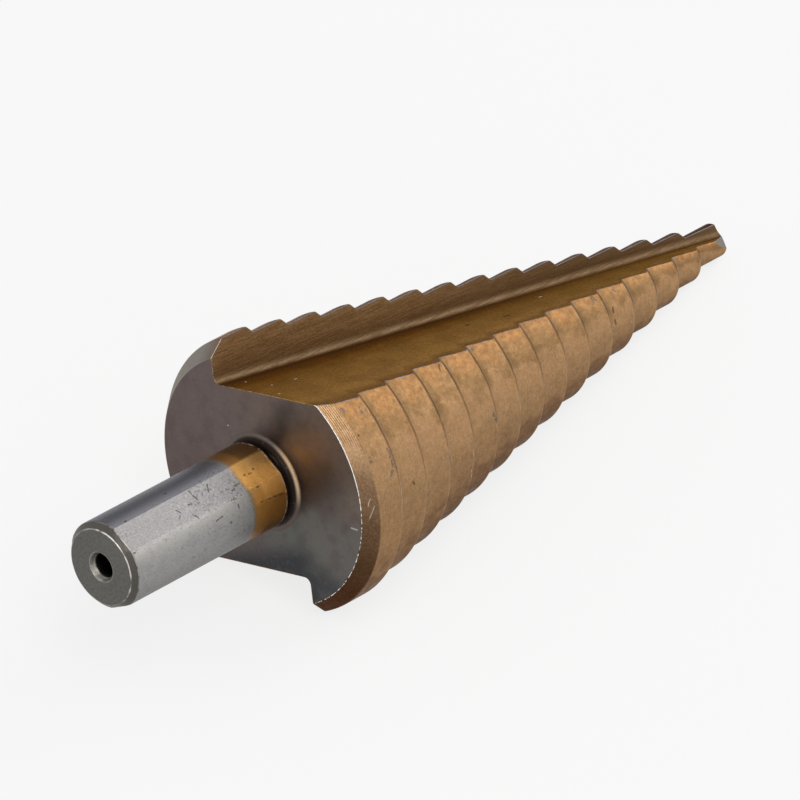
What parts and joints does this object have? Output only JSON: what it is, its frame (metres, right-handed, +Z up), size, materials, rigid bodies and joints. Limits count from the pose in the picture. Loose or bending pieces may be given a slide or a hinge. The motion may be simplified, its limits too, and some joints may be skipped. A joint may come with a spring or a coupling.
{
  "type": "step drill",
  "caption": "One-piece step drill for sheet metal: a stepped cone with straight flutes, a point, and a short shank with flats for a chuck.",
  "frame": {"origin": "on the ground under the middle of the drill as it lies at rest", "axes": "+Z up, +X from the shank towards the point along the ground; the drill's own axis lies in the XZ plane and dips 8.9 degrees towards the point"},
  "size_m": [0.1014, 0.0314, 0.0267],
  "materials": {
    "coated_steel": "ground high-speed steel with a worn gold titanium nitride coat on the cone, heat-tinted brown back face and bare grey shank"
  },
  "bodies": {
    "root": {"step_drill": "coated_steel"}
  },
  "joints": []
}
